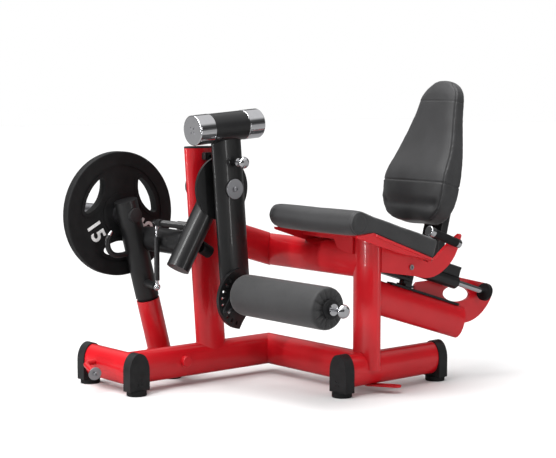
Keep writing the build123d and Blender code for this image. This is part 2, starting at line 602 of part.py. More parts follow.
BAR_R, EYE_R, EYE_PIN_R = 12.0, 11.0, 5.0
bar_root = Vector(50, 214, 555)
bar_head = Vector(SPRING_X + 22, SPRING_Y, SPRING_TOP_Z)
bar_dir = (bar_head - bar_root).normalized()
with BuildPart() as spring_bar:
    add(round_bar(Plane(origin=bar_root, z_dir=bar_dir), BAR_R, (bar_head - bar_root).length))
    add(round_bar(Plane(origin=bar_root, z_dir=bar_dir), 15, 34))
    add(round_bar(along_x(SPRING_X + 10.5, SPRING_Y, SPRING_TOP_Z), 13.5, 22))
    add(round_bar(along_x(SPRING_X - 10.5, SPRING_Y, SPRING_TOP_Z), EYE_PIN_R, 25))
    add(round_bar(along_x(SPRING_X - 13.5, SPRING_Y, SPRING_TOP_Z), 9, 3))
    add(load_solid, mode=Mode.SUBTRACT)
keep("spring_bar", spring_bar)

with BuildPart() as pivot_bolt:
    add(round_bar(along_x(ARM_OUT_X + 0.5, PIVOT_Y, PIVOT_Z), 34, 5))
    chamfer(pivot_bolt.edges().filter_by(GeomType.CIRCLE).sort_by(Axis.X)[-1], length=1)
    add(round_bar(along_x(ARM_OUT_X + 5.5, PIVOT_Y, PIVOT_Z), 10, 8))
    fillet(pivot_bolt.edges().filter_by(GeomType.CIRCLE).sort_by(Axis.X)[-1], radius=1.5)
    with BuildSketch(along_x(ARM_OUT_X + 13.5, PIVOT_Y, PIVOT_Z)):
        RegularPolygon(5, 6)
    extrude(amount=-5, mode=Mode.SUBTRACT)
keep("pivot_bolt", pivot_bolt)

# ---------------------------------------------------------------- weight carrier
weight_down = Vector(0, sin(radians(WEIGHT_TILT)), -cos(radians(WEIGHT_TILT)))
weight_top = Vector(WEIGHT_X, WEIGHT_TOP_Y, WEIGHT_TOP_Z)
HORN_Y = WEIGHT_TOP_Y + (WEIGHT_TOP_Z - HORN_Z) * tan(radians(WEIGHT_TILT))
weight_solid = round_bar(Plane(origin=weight_top, z_dir=weight_down), WEIGHT_R, WEIGHT_LEN)
HORN_FREE, HORN_RELIEF = 240.0, 0.4
horn_solid = round_bar(along_x(WEIGHT_X + 46, HORN_Y, HORN_Z), HORN_R - HORN_RELIEF,
                       HORN_END_X + HORN_FREE - WEIGHT_X - 46)
with BuildPart() as weight_tube:
    add(weight_solid)
    add(round_bar(along_x(WEIGHT_X, SWIVEL_Y, SWIVEL_Z), SWIVEL_R, COLLAR_FACE - GAP - WEIGHT_X))
    add(round_bar(Plane(origin=weight_top + weight_down * 4, z_dir=weight_down), WEIGHT_R - WALL,
                  WEIGHT_LEN - 4), mode=Mode.SUBTRACT)
    add(round_bar(along_x(SWIVEL_END_X - 4, SWIVEL_Y, SWIVEL_Z), 24, 200), mode=Mode.SUBTRACT)
    add(horn_solid, mode=Mode.SUBTRACT)
keep("weight_tube", weight_tube)

with BuildPart() as swivel_bushes:
    for bush_x in (SWIVEL_END_X, COLLAR_FACE - GAP - 26):
        add(round_bar(along_x(bush_x, SWIVEL_Y, SWIVEL_Z), 24, 26, SWIVEL_SHAFT_R + FIT))
keep("swivel_bushes", swivel_bushes)

with BuildPart() as weight_horn:
    add(horn_solid)
    chamfer(weight_horn.edges().filter_by(GeomType.CIRCLE).sort_by(Axis.X)[-1], length=1)
    add(round_bar(along_x(HORN_END_X, HORN_Y, HORN_Z), HORN_R, HORN_FREE))
    fillet(weight_horn.edges().filter_by(GeomType.CIRCLE).sort_by(Axis.X)[0], radius=3)
    add(round_bar(along_x(PLATE_X + 0.5, HORN_Y, HORN_Z), 36, 30) - weight_solid
        - box_between((WEIGHT_X, -400, 0), (0, 900, 1200)))
keep("weight_horn", weight_horn)

HANDLE_R = 9.5
handle_x = WEIGHT_X - 4
with BuildPart() as lift_handle:
    with BuildLine() as handle_line:
        Spline((handle_x, 150, 456), (handle_x, 104, 443), (handle_x, 67, 453), (handle_x, 52, 484),
               (handle_x, 59, 514))
    with BuildSketch(Plane(origin=handle_line.line @ 0, z_dir=handle_line.line % 0)):
        Circle(HANDLE_R)
    sweep()
    add(weight_solid, mode=Mode.SUBTRACT)
keep("lift_handle", lift_handle)

handle_end = handle_line.line @ 1
handle_dir = handle_line.line % 1
with BuildPart() as handle_tip:
    with BuildSketch(Plane(origin=handle_end, z_dir=handle_dir)):
        Circle(HANDLE_R)
    with BuildSketch(Plane(origin=handle_end + handle_dir * 18, z_dir=handle_dir)):
        Circle(5)
    loft()
keep("handle_tip", handle_tip)

BALL_R = 7.0
SOCKET_R = 12.0
ball_at = Vector(SPRING_X, SPRING_Y, SPRING_BALL_Z)
stud_root = Vector(WEIGHT_X, WEIGHT_TOP_Y + (WEIGHT_TOP_Z - SPRING_BALL_Z) * tan(radians(WEIGHT_TILT)),
                   SPRING_BALL_Z)
stud_dir = (ball_at - stud_root).normalized()
stud_len = (ball_at - stud_root).length
with BuildPart() as ball_stud:
    with BuildSketch(Plane(origin=stud_root, z_dir=stud_dir)):
        Circle(16)
    with BuildSketch(Plane(origin=stud_root + stud_dir * (stud_len - 18), z_dir=stud_dir)):
        Circle(11)
    loft()
    add(round_bar(Plane(origin=stud_root, z_dir=stud_dir), 4, stud_len))
    add(ball(ball_at, BALL_R))
    add(weight_solid, mode=Mode.SUBTRACT)
keep("ball_stud", ball_stud)

# ---------------------------------------------------------------- gas spring
ROD_TIP_Z = 420.0
with BuildPart() as gas_spring_rod:
    add(round_bar(along_x(SPRING_X - 10, SPRING_Y, SPRING_TOP_Z), EYE_R, 20))
    add(round_bar(Plane(origin=(SPRING_X, SPRING_Y, ROD_TIP_Z)), 4, SPRING_TOP_Z - 4 - ROD_TIP_Z))
    add(round_bar(Plane(origin=(SPRING_X, SPRING_Y, 538)), 7, 12))
    add(round_bar(along_x(SPRING_X - 11, SPRING_Y, SPRING_TOP_Z), EYE_PIN_R + FIT, 22),
        mode=Mode.SUBTRACT)
keep("gas_spring_rod", gas_spring_rod)

with BuildPart() as gas_spring_cylinder:
    add(round_bar(Plane(origin=(SPRING_X, SPRING_Y, 364)), 9.5, 152))
    fillet(gas_spring_cylinder.edges().filter_by(GeomType.CIRCLE), radius=1.5)
    add(round_bar(Plane(origin=(SPRING_X, SPRING_Y, SPRING_BALL_Z)), 6, 34))
    add(ball(ball_at, SOCKET_R))
    add(round_bar(Plane(origin=(SPRING_X, SPRING_Y, ROD_TIP_Z - 20)), 4 + FIT, 120), mode=Mode.SUBTRACT)
    add(ball(ball_at, BALL_R + 1.0), mode=Mode.SUBTRACT)
    add(round_bar(Plane(origin=ball_at - stud_dir * 20, z_dir=stud_dir), 6.5, 20), mode=Mode.SUBTRACT)
keep("gas_spring_cylinder", gas_spring_cylinder)

# ---------------------------------------------------------------- rest stub under the weight tube
stub_top = weight_top + weight_down * (WEIGHT_LEN + STUB_GAP)
with BuildPart() as rest_stub:
    add(round_bar(Plane(origin=stub_top, z_dir=weight_down), WEIGHT_R, 200, WEIGHT_R - WALL))
    add(outrigger_solid, mode=Mode.SUBTRACT)
    add(box_between((-400, 0, 0), (0, 600, RAIL_Z)), mode=Mode.SUBTRACT)
keep("rest_stub", rest_stub)

with BuildPart() as rest_plug:
    add(round_bar(Plane(origin=stub_top, z_dir=weight_down * -1), 33, STUB_GAP - GAP))
    add(round_bar(Plane(origin=stub_top, z_dir=weight_down), WEIGHT_R - WALL, 20))
keep("rest_plug", rest_plug)

# ---------------------------------------------------------------- weight plate
plate_front_plane = Plane(origin=(PLATE_X, HORN_Y, HORN_Z), x_dir=(0, 1, 0), z_dir=(1, 0, 0))


def grip_window(angle):
    """Curved hand hole between two radii of the plate, as a sketch about its own centre."""
    inner, outer, spread = 96.0, 152.0, 31.0
    with BuildSketch(mode=Mode.PRIVATE) as window:
        with BuildLine():
            outer_arc = CenterArc((0, 0), outer, angle - spread, 2 * spread)
            sagitta_mid = Vector(inner * cos(radians(angle)), inner * sin(radians(angle)), 0)
            ThreePointArc(outer_arc @ 1, sagitta_mid, outer_arc @ 0)
        make_face()
        fillet(window.vertices(), radius=12)
    return window.sketch


WINDOW_ANGLES = (28.0, 148.0, 268.0)
with BuildPart() as weight_plate:
    with BuildSketch(plate_front_plane):
        Circle(PLATE_R)
        Circle(HORN_R + 0.1, mode=Mode.SUBTRACT)
        for window_angle in WINDOW_ANGLES:
            add(grip_window(window_angle), mode=Mode.SUBTRACT)
    extrude(amount=-PLATE_T)
    rim_edges = weight_plate.edges().filter_by(GeomType.CIRCLE).sort_by(SortBy.RADIUS)[-2:]
    fillet(rim_edges, radius=6)
    for side, direction in ((0.0, -1), (-PLATE_T, 1)):
        with BuildSketch(plate_front_plane.offset(side)):
            Circle(172)
            Circle(74, mode=Mode.SUBTRACT)
            for window_angle in WINDOW_ANGLES:
                add(offset(grip_window(window_angle), amount=12, mode=Mode.PRIVATE), mode=Mode.SUBTRACT)
        extrude(amount=direction * 3, mode=Mode.SUBTRACT)
keep("weight_plate", weight_plate)

# ---------------------------------------------------------------- lever arm
arm_up = Vector(*tilted_up(ARM_TILT))
arm_back = Vector(0, cos(radians(ARM_TILT)), sin(radians(ARM_TILT)))
arm_pivot = Vector(ARM_X, PIVOT_Y, PIVOT_Z)
tbar_mid = arm_pivot + arm_up * ARM_UP
tbar_front = tbar_mid - arm_back * TBAR_HALF
arm_plane = plane_at(arm_pivot - arm_up * ARM_DOWN, arm_up)
tbar_solid = round_bar(Plane(origin=tbar_front, z_dir=arm_back), TBAR_R, 2 * TBAR_HALF)
arm_hub_solid = round_bar(along_x(DISC_X + DISC_T + GAP, PIVOT_Y, PIVOT_Z), 33,
                          ARM_OUT_X - DISC_X - DISC_T - GAP)
PIN_DIR = Vector(0, 0, 1)
pin_centre = Vector(0, PIVOT_Y, PIVOT_Z) + PIN_DIR * HOLE_CIRCLE
PIN_R = 5.6
pin_sleeve_solid = round_bar(along_x(DISC_X + DISC_T + 1, pin_centre.Y, pin_centre.Z), 12,
                             ARM_OUT_X + 4 - DISC_X - DISC_T)
with BuildPart() as lever_arm:
    add(oval_bar(arm_plane, OVAL_S, OVAL_L, ARM_DOWN + ARM_UP, WALL))
    add(tbar_solid, mode=Mode.SUBTRACT)
    add(arm_hub_solid)
    add(pin_sleeve_solid)
    add(round_bar(along_x(ARM_OUT_X - 6, pin_centre.Y, pin_centre.Z), 17, 10))
    add(round_bar(along_x(DISC_X, PIVOT_Y, PIVOT_Z), SHAFT_R + FIT, 120), mode=Mode.SUBTRACT)
    add(round_bar(along_x(DISC_X, pin_centre.Y, pin_centre.Z), PIN_R + FIT, 120), mode=Mode.SUBTRACT)
keep("lever_arm", lever_arm)

with BuildPart() as tbar_sleeve:
    add(round_bar(Plane(origin=tbar_front + arm_back * TBAR_CAP, z_dir=arm_back), TBAR_R - 0.8,
                  2 * (TBAR_HALF - TBAR_CAP)))
keep("tbar_sleeve", tbar_sleeve)

with BuildPart() as tbar_weights:
    for end_origin, inward in ((tbar_front, arm_back), (tbar_front + arm_back * 2 * TBAR_HALF, arm_back * -1)):
        end_plane = Plane(origin=end_origin, x_dir=(1, 0, 0), z_dir=inward)
        add(round_bar(end_plane, TBAR_R, TBAR_CAP))
        with BuildSketch(end_plane):
            with PolarLocations(11, 4, start_angle=45):
                SlotOverall(11, 6)
        extrude(amount=3, mode=Mode.SUBTRACT)
    fillet(tbar_weights.edges().filter_by(GeomType.CIRCLE).sort_by(SortBy.RADIUS)[-4:], radius=3)
keep("tbar_weights", tbar_weights)

KNOB_R = 20.0
knob_x = ARM_OUT_X + 19
with BuildPart() as pull_pin:
    add(round_bar(along_x(DISC_X + DISC_T + GAP, pin_centre.Y, pin_centre.Z), PIN_R,
                  knob_x - DISC_X - DISC_T - GAP))
    with BuildSketch(Plane(origin=(knob_x, pin_centre.Y, pin_centre.Z), x_dir=(1, 0, 0), z_dir=(0, 0, 1))):
        with BuildLine():
            Polyline((-5, 0), (-5, 12), (-3, 14), (5, 14), (7, 12), (7, 8.5), (13, 8.5), (17, 12))
            Spline((17, 12), (30, KNOB_R), (42, 15), tangents=[(0.7, 0.7), (0.6, -0.8)])
            Polyline((42, 15), (45, 10), (45, 0), (-5, 0))
        make_face()
    revolve(axis=Axis((knob_x, pin_centre.Y, pin_centre.Z), (1, 0, 0)))
keep("pull_pin", pull_pin)

# ---------------------------------------------------------------- roller adjuster
crank_pivot = arm_pivot - arm_up * CRANK_DOWN
CRANK_Y, CRANK_Z = crank_pivot.Y, crank_pivot.Z
ROLLER_Y, ROLLER_Z = CRANK_Y + CRANK_DY, CRANK_Z + CRANK_DZ
SLOT_CIRCLE, SLOT_STEP, INDEX_ANGLE = 86.0, 15.0, 205.0
SLOTS_BEFORE, SLOT_COUNT = 5, 9
CRANK_PIN_R = 14.0
with BuildPart() as adjuster_plate:
    with BuildSketch(along_x(SECTOR_X, CRANK_Y, CRANK_Z)):
        with BuildLine():
            rim = CenterArc((0, 0), SECTOR_R, 96, 165)
            Polyline(rim @ 1, (-2, -80), (12, -62), (36, -52), (40, 10), (36, 62), (6, 92), rim @ 0)
        make_face()
        Circle(CRANK_PIN_R + FIT, mode=Mode.SUBTRACT)
        with PolarLocations(SLOT_CIRCLE, SLOT_COUNT, start_angle=INDEX_ANGLE - SLOTS_BEFORE * SLOT_STEP,
                            angular_range=SLOT_COUNT * SLOT_STEP):
            SlotOverall(18, 9, mode=Mode.SUBTRACT)
    extrude(amount=SECTOR_T)
    add(pieces["lever_arm"], mode=Mode.SUBTRACT)
keep("adjuster_plate", adjuster_plate)

CRANK_X, CRANK_T = SECTOR_X + SECTOR_T + GAP, 8.0
AXLE_R, RELEASE_R, INDEX_R = 15.0, 6.0, 4.2
CAP_X = ROLLER_X + ROLLER_L
index_at = Vector(0, CRANK_Y + SLOT_CIRCLE * cos(radians(INDEX_ANGLE)),
                  CRANK_Z + SLOT_CIRCLE * sin(radians(INDEX_ANGLE)))
with BuildPart() as roller_crank:
    with BuildSketch(along_x(CRANK_X, 0, 0)):
        with Locations((CRANK_Y, CRANK_Z)):
            Circle(29)
        with Locations((ROLLER_Y, ROLLER_Z)):
            Circle(29)
        with Locations((index_at.Y, index_at.Z)):
            Circle(13)
        make_hull()
    extrude(amount=CRANK_T)
    add(round_bar(along_x(SECTOR_X - 8, CRANK_Y, CRANK_Z), CRANK_PIN_R, CRANK_X - SECTOR_X + 8))
    add(round_bar(along_x(SECTOR_X - 8, CRANK_Y, CRANK_Z), 22, 8 - GAP))
    with BuildSketch(along_x(CRANK_X, 0, 0)):
        with Locations((index_at.Y, index_at.Z)):
            Circle(INDEX_R + FIT)
        with Locations((ROLLER_Y, ROLLER_Z)):
            Circle(AXLE_R)
    extrude(amount=CRANK_T, mode=Mode.SUBTRACT)

LATCH_X, LATCH_T = CRANK_X + CRANK_T + 9.0, 4.0
latch_way = Vector(0, index_at.Y - ROLLER_Y, index_at.Z - ROLLER_Z)
latch_angle = degrees(atan2(latch_way.Z, latch_way.Y))
with BuildPart() as roller_axle:
    add(round_bar(along_x(CRANK_X, ROLLER_Y, ROLLER_Z), AXLE_R, CAP_X + 20 - CRANK_X, RELEASE_R + FIT))
    with BuildSketch(along_x(CRANK_X + CRANK_T, ROLLER_Y, ROLLER_Z)):
        with Locations(Location((0, 0), latch_angle)):
            with Locations((20, 0)):
                Rectangle(40, 11, mode=Mode.ADD)
    extrude(amount=16, mode=Mode.SUBTRACT)
    add(round_bar(along_x(CAP_X + 14, ROLLER_Y, ROLLER_Z), 19, 8, RELEASE_R + FIT))

with BuildPart() as crank_with_axle:
    add(roller_crank.part)
    add(roller_axle.part)
keep("roller_crank", crank_with_axle)

with BuildPart() as release_rod:
    add(round_bar(along_x(LATCH_X - 4, ROLLER_Y, ROLLER_Z), RELEASE_R, CAP_X + 49 - LATCH_X))
    with BuildSketch(along_x(LATCH_X, ROLLER_Y, ROLLER_Z)):
        with Locations(Location((0, 0), latch_angle)):
            with Locations((latch_way.length / 2, 0)):
                SlotOverall(latch_way.length + 10, 10)
    extrude(amount=LATCH_T)
    add(round_bar(along_x(CRANK_X - GAP + 0.2, index_at.Y, index_at.Z), INDEX_R,
                  LATCH_X - CRANK_X + GAP - 0.2))
    with BuildSketch(Plane(origin=(CAP_X + 45, ROLLER_Y, ROLLER_Z), x_dir=(1, 0, 0), z_dir=(0, 0, 1))):
        with BuildLine():
            Polyline((0, 0), (0, 12), (4, 15))
            Spline((4, 15), (18, 22), (33, 16), tangents=[(1, 0.3), (0.6, -0.8)])
            Polyline((33, 16), (36, 11), (36, 0), (0, 0))
        make_face()
    revolve(axis=Axis((CAP_X, ROLLER_Y, ROLLER_Z), (1, 0, 0)))
keep("release_rod", release_rod)

with BuildPart() as roller_sleeve:
    add(round_bar(along_x(ROLLER_X + 2, ROLLER_Y, ROLLER_Z), 24, ROLLER_L + 4, AXLE_R + FIT))
    add(round_bar(along_x(CAP_X + 2, ROLLER_Y, ROLLER_Z), 32, 10, AXLE_R + FIT))
keep("roller_sleeve", roller_sleeve)

with BuildPart() as roller_foam:
    add(round_bar(along_x(ROLLER_X, ROLLER_Y, ROLLER_Z), ROLLER_R, ROLLER_L, 24))
    fillet(roller_foam.edges().filter_by(GeomType.CIRCLE).sort_by(SortBy.RADIUS)[-2:], radius=9)
keep("roller_foam", roller_foam)

# ---------------------------------------------------------------- backrest carriage
slider_plane = Plane(origin=rod_mid, x_dir=(1, 0, 0), z_dir=beam_dir * -1)
slider_solid = round_bar(slider_plane, SLIDER_R, SLIDER_LEN)
with BuildPart() as slider_bushes:
    for from_rear in (0, SLIDER_LEN - 40):
        add(round_bar(slider_plane.offset(from_rear), 17, 40, ROD_R + FIT))
keep("slider_bushes", slider_bushes)

strip_top = (strip_front - rod_mid).dot(beam_up) + STRIP_T
foot_bottom = strip_top + 0.6

# post that carries the pad, leaning back by BACK_LEAN
back_up = Vector(0, sin(radians(BACK_LEAN)), cos(radians(BACK_LEAN)))
back_out = Vector(0, -cos(radians(BACK_LEAN)), sin(radians(BACK_LEAN)))
BACK_POST_W, BACK_POST_D, BACK_POST_LEN = 90.0, 40.0, 322.0
post_foot = Vector(SEAT_MID_X, 1007, 389)
back_post_plane = Plane(origin=post_foot, x_dir=(1, 0, 0), z_dir=back_up)


def rounded_box_tube(plane, across, deep, corner, length, wall):
    with BuildPart(mode=Mode.PRIVATE) as tube:
        with BuildSketch(plane):
            RectangleRounded(across, deep, corner)
            if wall:
                RectangleRounded(across - 2 * wall, deep - 2 * wall, corner - wall, mode=Mode.SUBTRACT)
        extrude(amount=length)
    return tube.part


back_post_solid = rounded_box_tube(back_post_plane, BACK_POST_W, BACK_POST_D, 8, BACK_POST_LEN, 0)
with BuildPart() as back_carriage:
    add(slider_solid)
    # guide foot that runs over the wear strip
    with BuildSketch(slider_plane.offset(SLIDER_LEN - 40)):
        with Locations((0, foot_bottom / 2)):
            Rectangle(24, -foot_bottom)
        with Locations((0, foot_bottom + 4)):
            Rectangle(46, 8)
    extrude(amount=40)
    # skid that runs forward from the guide foot under the seat
    with BuildSketch(slider_plane.offset(SLIDER_LEN - 20)):
        with Locations((0, foot_bottom + 26)):
            RectangleRounded(44, 15, 5)
    extrude(amount=150)
    # saddle and the plate that carries the back post
    with BuildSketch(slider_plane.offset(6)):
        with Locations((0, 32)):
            Rectangle(44, 28)
        with Locations((-40, 49)):
            RectangleRounded(128, 10, 3)
    extrude(amount=92)
    add(back_post_solid, mode=Mode.SUBTRACT)
    add(round_bar(slider_plane, 17, SLIDER_LEN), mode=Mode.SUBTRACT)
keep("back_carriage", back_carriage)

with BuildPart() as back_post:
    add(rounded_box_tube(back_post_plane, BACK_POST_W, BACK_POST_D, 8, BACK_POST_LEN, 3))
    for cap_at in (-3, BACK_POST_LEN):
        add(rounded_box_tube(back_post_plane.offset(cap_at), BACK_POST_W, BACK_POST_D, 8, 3, 0))

PAD_BACK_Y, PAD_BACK_Z = 1006.0, 669.0
pad_back_plane = Plane(origin=(SEAT_MID_X, PAD_BACK_Y, PAD_BACK_Z), x_dir=(1, 0, 0), z_dir=back_out)
# +1 where the sketch's y runs up the pad, else -1
PAD_UP = 1 if pad_back_plane.y_dir.dot(back_up) > 0 else -1
BRACKET_GAP = (Vector(0, PAD_BACK_Y, PAD_BACK_Z) - Vector(0, post_foot.Y, post_foot.Z)).dot(back_out)
with BuildPart() as pad_bracket:
    add(back_post.part)
    with BuildSketch(pad_back_plane):
        with Locations((0, PAD_UP * -20)):
            RectangleRounded(150, 190, 12)
            with GridLocations(120, 160, 2, 2):
                Circle(4, mode=Mode.SUBTRACT)
    extrude(amount=-5)
    with BuildSketch(pad_back_plane.offset(-5)):
        with Locations((0, PAD_UP * -85), (0, PAD_UP * 5)):
            Rectangle(60, 30)
    extrude(amount=-(BRACKET_GAP - BACK_POST_D / 2 - 5))
keep("back_post", pad_bracket)

with BuildPart() as back_pad:
    with BuildSketch(pad_back_plane):
        with BuildLine():
            half = ((64, -137), (116, -120), (149, -72), (158, -5), (151, 95), (126, 200), (104, 292),
                    (88, 350), (52, 385))
            right = [(x, PAD_UP * y) for x, y in half]
            left = [(-x, PAD_UP * y) for x, y in reversed(half)]
            Spline(*right, *left, periodic=True)
        make_face()
    extrude(amount=100)
    with BuildSketch(along_x(SEAT_MID_X - 200, 0, 0)):
        with BuildLine():
            # thickness of the pad against the distance up it, from below its foot to above its crown
            profile = ((-160, 52), (-100, 72), (-40, 83), (30, 86), (95, 70), (170, 54), (290, 44), (420, 32))
            front = []
            for up, thick in profile:
                at = Vector(0, PAD_BACK_Y, PAD_BACK_Z) + back_up * up + back_out * thick
                front.append((at.Y, at.Z))
            edge_low = Vector(0, PAD_BACK_Y, PAD_BACK_Z) + back_up * profile[0][0]
            edge_high = Vector(0, PAD_BACK_Y, PAD_BACK_Z) + back_up * profile[-1][0]
            Spline(*front)
            Polyline(front[-1], (edge_high.Y, edge_high.Z), (edge_low.Y, edge_low.Z), front[0])
        make_face()
    extrude(amount=400, mode=Mode.INTERSECT)
keep("back_pad", back_pad)

# ---------------------------------------------------------------- export
os.makedirs("parts", exist_ok=True)
for name, solid in pieces.items():
    placed = TO_FOOTPRINT * solid
    placed.label = name
    export_step(placed, f"parts/{name}.step")
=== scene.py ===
import json
from math import cos, pi, radians, sin

import bpy
import numpy as np
from mathutils import Matrix, Vector


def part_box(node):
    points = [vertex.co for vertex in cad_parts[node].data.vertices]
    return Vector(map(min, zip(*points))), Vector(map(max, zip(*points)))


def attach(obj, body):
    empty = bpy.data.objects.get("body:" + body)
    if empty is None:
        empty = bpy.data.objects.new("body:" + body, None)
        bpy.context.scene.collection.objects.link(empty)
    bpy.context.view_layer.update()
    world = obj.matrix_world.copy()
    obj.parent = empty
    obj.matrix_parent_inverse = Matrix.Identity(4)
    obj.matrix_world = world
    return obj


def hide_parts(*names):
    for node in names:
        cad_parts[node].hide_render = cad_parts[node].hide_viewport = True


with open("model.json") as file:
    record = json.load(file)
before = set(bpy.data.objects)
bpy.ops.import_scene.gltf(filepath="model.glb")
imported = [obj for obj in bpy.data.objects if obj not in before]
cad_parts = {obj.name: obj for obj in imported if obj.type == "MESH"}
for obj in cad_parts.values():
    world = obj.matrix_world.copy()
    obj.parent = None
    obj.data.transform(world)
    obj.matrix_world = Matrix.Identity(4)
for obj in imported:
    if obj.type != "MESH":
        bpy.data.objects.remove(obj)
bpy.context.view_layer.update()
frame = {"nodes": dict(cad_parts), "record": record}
nodes = frame["nodes"]
scene = bpy.context.scene


# ---------------------------------------------------------------- materials
def new_material(name):
    mat = bpy.data.materials.new(name)
    mat.use_nodes = True
    return mat, mat.node_tree, mat.node_tree.nodes["Principled BSDF"]


def coords(tree, scale=(1, 1, 1)):
    """Object coordinates, which on every piece here are the machine's own metres."""
    tex = tree.nodes.new("ShaderNodeTexCoord")
    mapping = tree.nodes.new("ShaderNodeMapping")
    mapping.inputs["Scale"].default_value = scale
    tree.links.new(tex.outputs["Object"], mapping.inputs["Vector"])
    return mapping.outputs["Vector"]


def noise(tree, vector, scale, detail=3.0, rough=0.55):
    tex = tree.nodes.new("ShaderNodeTexNoise")
    tex.inputs["Scale"].default_value = scale
    tex.inputs["Detail"].default_value = detail
    tex.inputs["Roughness"].default_value = rough
    tree.links.new(vector, tex.inputs["Vector"])
    return tex.outputs["Fac"]


def cells(tree, vector, scale):
    tex = tree.nodes.new("ShaderNodeTexVoronoi")
    tex.inputs["Scale"].default_value = scale
    tree.links.new(vector, tex.inputs["Vector"])
    return tex.outputs["Distance"]


def ramp(tree, fac, stops):
    node = tree.nodes.new("ShaderNodeValToRGB")
    elements = node.color_ramp.elements
    for element, (at, colour) in zip(elements, stops[:2]):
        element.position = at
        element.color = (*colour, 1.0)
    for at, colour in stops[2:]:
        elements.new(at).color = (*colour, 1.0)
    tree.links.new(fac, node.inputs["Fac"])
    return node.outputs["Color"]


def span(tree, fac, low, high):
    node = tree.nodes.new("ShaderNodeMapRange")
    node.inputs["To Min"].default_value = low
    node.inputs["To Max"].default_value = high
    tree.links.new(fac, node.inputs["Value"])
    return node.outputs["Result"]


def add(tree, a, b):
    node = tree.nodes.new("ShaderNodeMath")
    node.operation = "ADD"
    tree.links.new(a, node.inputs[0])
    tree.links.new(b, node.inputs[1])
    return node.outputs[0]


def bump(tree, bsdf, height, strength, distance):
    node = tree.nodes.new("ShaderNodeBump")
    node.inputs["Strength"].default_value = strength
    node.inputs["Distance"].default_value = distance
    tree.links.new(height, node.inputs["Height"])
    tree.links.new(node.outputs["Normal"], bsdf.inputs["Normal"])


def paint(name, dark, light, rough, coat, orange_peel, grain=0.0):
    """Stoved powder coat: fine orange peel under a clear gloss, a little uneven in tone."""
    mat, tree, bsdf = new_material(name)
    where = coords(tree)
    broad = noise(tree, where, 7.0, 3.0)
    tree.links.new(ramp(tree, broad, ((0.3, dark), (0.7, light))), bsdf.inputs["Base Color"])
    tree.links.new(span(tree, noise(tree, where, 45.0, 5.0), *rough), bsdf.inputs["Roughness"])
    bsdf.inputs["Coat Weight"].default_value = coat
    bsdf.inputs["Coat Roughness"].default_value = 0.05
    bsdf.inputs["Specular IOR Level"].default_value = 0.35
    height = noise(tree, where, 420.0, 2.0)
    if grain:
        height = add(tree, height, noise(tree, where, 1700.0, 2.0))
    bump(tree, bsdf, height, orange_peel, 0.0002)
    return mat


def moulded(name, dark, light, rough, pebble, strength):
    mat, tree, bsdf = new_material(name)
    where = coords(tree)
    tree.links.new(ramp(tree, noise(tree, where, 30.0, 6.0), ((0.3, dark), (0.72, light))),
                   bsdf.inputs["Base Color"])
    tree.links.new(span(tree, noise(tree, where, 160.0, 4.0), *rough), bsdf.inputs["Roughness"])
    bsdf.inputs["Specular IOR Level"].default_value = 0.25
    height = add(tree, noise(tree, where, pebble, 3.0), cells(tree, where, pebble * 0.8))
    bump(tree, bsdf, height, strength, 0.0005)
    return mat


def metal(name, colour, rough, stretch, strength):
    mat, tree, bsdf = new_material(name)
    where = coords(tree, stretch)
    bsdf.inputs["Metallic"].default_value = 1.0
    light = tuple(min(1.0, c * 1.06) for c in colour)
    tree.links.new(ramp(tree, noise(tree, where, 60.0, 5.0), ((0.3, colour), (0.75, light))),
                   bsdf.inputs["Base Color"])
    tree.links.new(span(tree, noise(tree, where, 140.0, 6.0), *rough), bsdf.inputs["Roughness"])
    bump(tree, bsdf, noise(tree, where, 240.0, 4.0), strength, 0.0002)
    return mat


def vinyl(name, dark, light, rough=(0.42, 0.56)):
    """Upholstery vinyl: a cell grain of about a millimetre, soft mottling and a faint sheen."""
    mat, tree, bsdf = new_material(name)
    where = coords(tree)
    grain = cells(tree, where, 850.0)
    mottle = add(tree, noise(tree, where, 14.0, 5.0), span(tree, grain, -0.12, 0.12))
    tree.links.new(ramp(tree, mottle, ((0.3, dark), (0.75, light))), bsdf.inputs["Base Color"])
    tree.links.new(span(tree, noise(tree, where, 60.0, 4.0), *rough), bsdf.inputs["Roughness"])
    bsdf.inputs["Sheen Weight"].default_value = 0.25
    bsdf.inputs["Sheen Roughness"].default_value = 0.4
    bsdf.inputs["Specular IOR Level"].default_value = 0.4
    height = add(tree, grain, noise(tree, where, 1500.0, 2.0))
    bump(tree, bsdf, height, 0.28, 0.0006)
    return mat


RED = paint("red_paint", (0.47, 0.0035, 0.0085), (0.56, 0.0055, 0.0120), (0.30, 0.40), 0.50, 0.10)
BLACK = paint("black_paint", (0.0060, 0.0060, 0.0064), (0.0105, 0.0105, 0.0112),
              (0.36, 0.48), 0.22, 0.22, 1)
RUBBER = moulded("black_rubber", (0.0045, 0.0045, 0.005), (0.0085, 0.0085, 0.009), (0.55, 0.68), 900.0, 0.20)
PLASTIC = moulded("black_plastic", (0.009, 0.009, 0.0095), (0.016, 0.016, 0.017), (0.42, 0.55), 650.0, 0.15)
FOAM = vinyl("grey_foam", (0.022, 0.022, 0.023), (0.033, 0.033, 0.034), (0.55, 0.70))
VINYL = vinyl("grey_vinyl", (0.021, 0.021, 0.022), (0.031, 0.031, 0.0325))
DARK_VINYL = vinyl("dark_vinyl", (0.013, 0.013, 0.014), (0.021, 0.021, 0.022))
CHROME = metal("chrome", (0.66, 0.66, 0.68), (0.04, 0.10), (1, 1, 1), 0.02)
STEEL = metal("steel", (0.42, 0.42, 0.44), (0.26, 0.40), (1, 6, 6), 0.12)
SLOT_MATERIAL = {"red_paint": RED, "black_paint": BLACK, "black_rubber": RUBBER, "black_plastic": PLASTIC,
                 "grey_foam": FOAM, "grey_vinyl": VINYL, "chrome": CHROME, "steel": STEEL}

for part in frame["record"]["subparts"]:
    piece = nodes[part["node"]]
    piece.data.materials.clear()
    piece.data.materials.append(SLOT_MATERIAL[part["material_slot"]])


